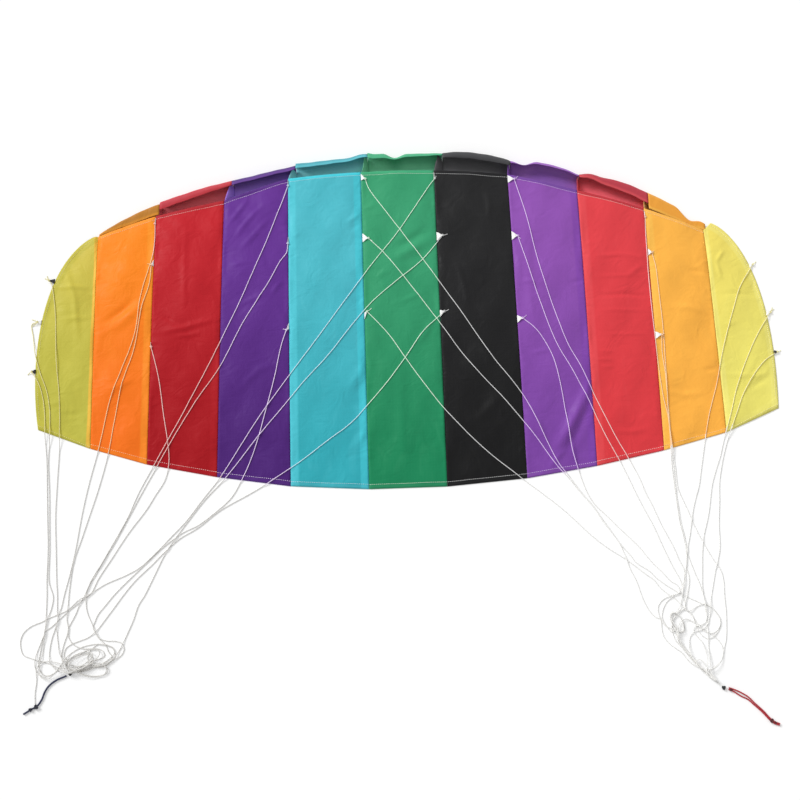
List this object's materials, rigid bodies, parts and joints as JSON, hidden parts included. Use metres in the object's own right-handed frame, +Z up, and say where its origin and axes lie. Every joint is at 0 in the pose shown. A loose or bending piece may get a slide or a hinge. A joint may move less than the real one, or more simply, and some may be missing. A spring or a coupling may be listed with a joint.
{
  "type": "stunt kite",
  "caption": "Two-line foil kite of coloured cells laid on its back, with open mouths along the nose, a gathered bridle of thin lines and a tow loop on each side.",
  "frame": {"origin": "middle of the canopy on the surface that it rests on", "axes": "+X along the span towards the tow loop of the red side, +Y towards the mouths at the leading edge, +Z up from the surface"},
  "size_m": [1.3541, 1.0678, 0.0334],
  "materials": {
    "cloth_left_yellow": "coated ripstop, soft sheen",
    "cloth_left_orange": "coated ripstop, soft sheen",
    "cloth_left_red": "coated ripstop, soft sheen",
    "cloth_left_purple": "coated ripstop, soft sheen",
    "cloth_turquoise": "coated ripstop, soft sheen",
    "cloth_green": "coated ripstop, soft sheen",
    "cloth_black": "coated ripstop, soft sheen",
    "cloth_right_purple": "coated ripstop, soft sheen",
    "cloth_right_red": "coated ripstop, soft sheen",
    "cloth_right_orange": "coated ripstop, soft sheen",
    "cloth_right_yellow": "coated ripstop, soft sheen",
    "line": "braided, matt",
    "tow_blue": "braided, matt",
    "tow_red": "braided, matt",
    "tape": "woven tape, matt",
    "tape_black": "woven tape, matt"
  },
  "bodies": {
    "root": {"Lower_Panel_01": "cloth_left_yellow", "Upper_Panel_01": "cloth_left_yellow", "Lower_Panel_02": "cloth_left_orange", "Upper_Panel_02": "cloth_left_orange", "Lower_Panel_03": "cloth_left_red", "Upper_Panel_03": "cloth_left_red", "Lower_Panel_04": "cloth_left_purple", "Upper_Panel_04": "cloth_left_purple", "Lower_Panel_05": "cloth_turquoise", "Upper_Panel_05": "cloth_turquoise", "Lower_Panel_06": "cloth_green", "Upper_Panel_06": "cloth_green", "Lower_Panel_07": "cloth_black", "Upper_Panel_07": "cloth_black", "Lower_Panel_08": "cloth_right_purple", "Upper_Panel_08": "cloth_right_purple", "Lower_Panel_09": "cloth_right_red", "Upper_Panel_09": "cloth_right_red", "Lower_Panel_10": "cloth_right_orange", "Upper_Panel_10": "cloth_right_orange", "Lower_Panel_11": "cloth_right_yellow", "Upper_Panel_11": "cloth_right_yellow", "Rib_01": "cloth_left_orange", "Rib_02": "cloth_left_red", "Rib_03": "cloth_left_purple", "Rib_04": "cloth_turquoise", "Rib_05": "cloth_green", "Rib_06": "cloth_black", "Rib_07": "cloth_right_purple", "Rib_08": "cloth_right_red", "Rib_09": "cloth_right_orange", "Rib_10": "cloth_right_yellow", "Bridle_Line_00_A": "line", "Bridle_Line_00_B": "line", "Bridle_Line_00_C": "line", "Bridle_Line_02_A": "line", "Bridle_Line_02_B": "line", "Bridle_Line_02_C": "line", "Bridle_Line_04_A": "line", "Bridle_Line_04_B": "line", "Bridle_Line_04_C": "line", "Bridle_Line_05_A": "line", "Bridle_Line_05_B": "line", "Bridle_Line_05_C": "line", "Bridle_Line_06_A": "line", "Bridle_Line_06_B": "line", "Bridle_Line_06_C": "line", "Bridle_Line_07_A": "line", "Bridle_Line_07_B": "line", "Bridle_Line_07_C": "line", "Bridle_Line_09_A": "line", "Bridle_Line_09_B": "line", "Bridle_Line_09_C": "line", "Bridle_Line_11_A": "line", "Bridle_Line_11_B": "line", "Bridle_Line_11_C": "line", "Line_Hank_Left": "line", "Line_Hank_Right": "line", "Tow_Loop_Blue": "tow_blue", "Tow_Loop_Red": "tow_red"}
  },
  "joints": []
}
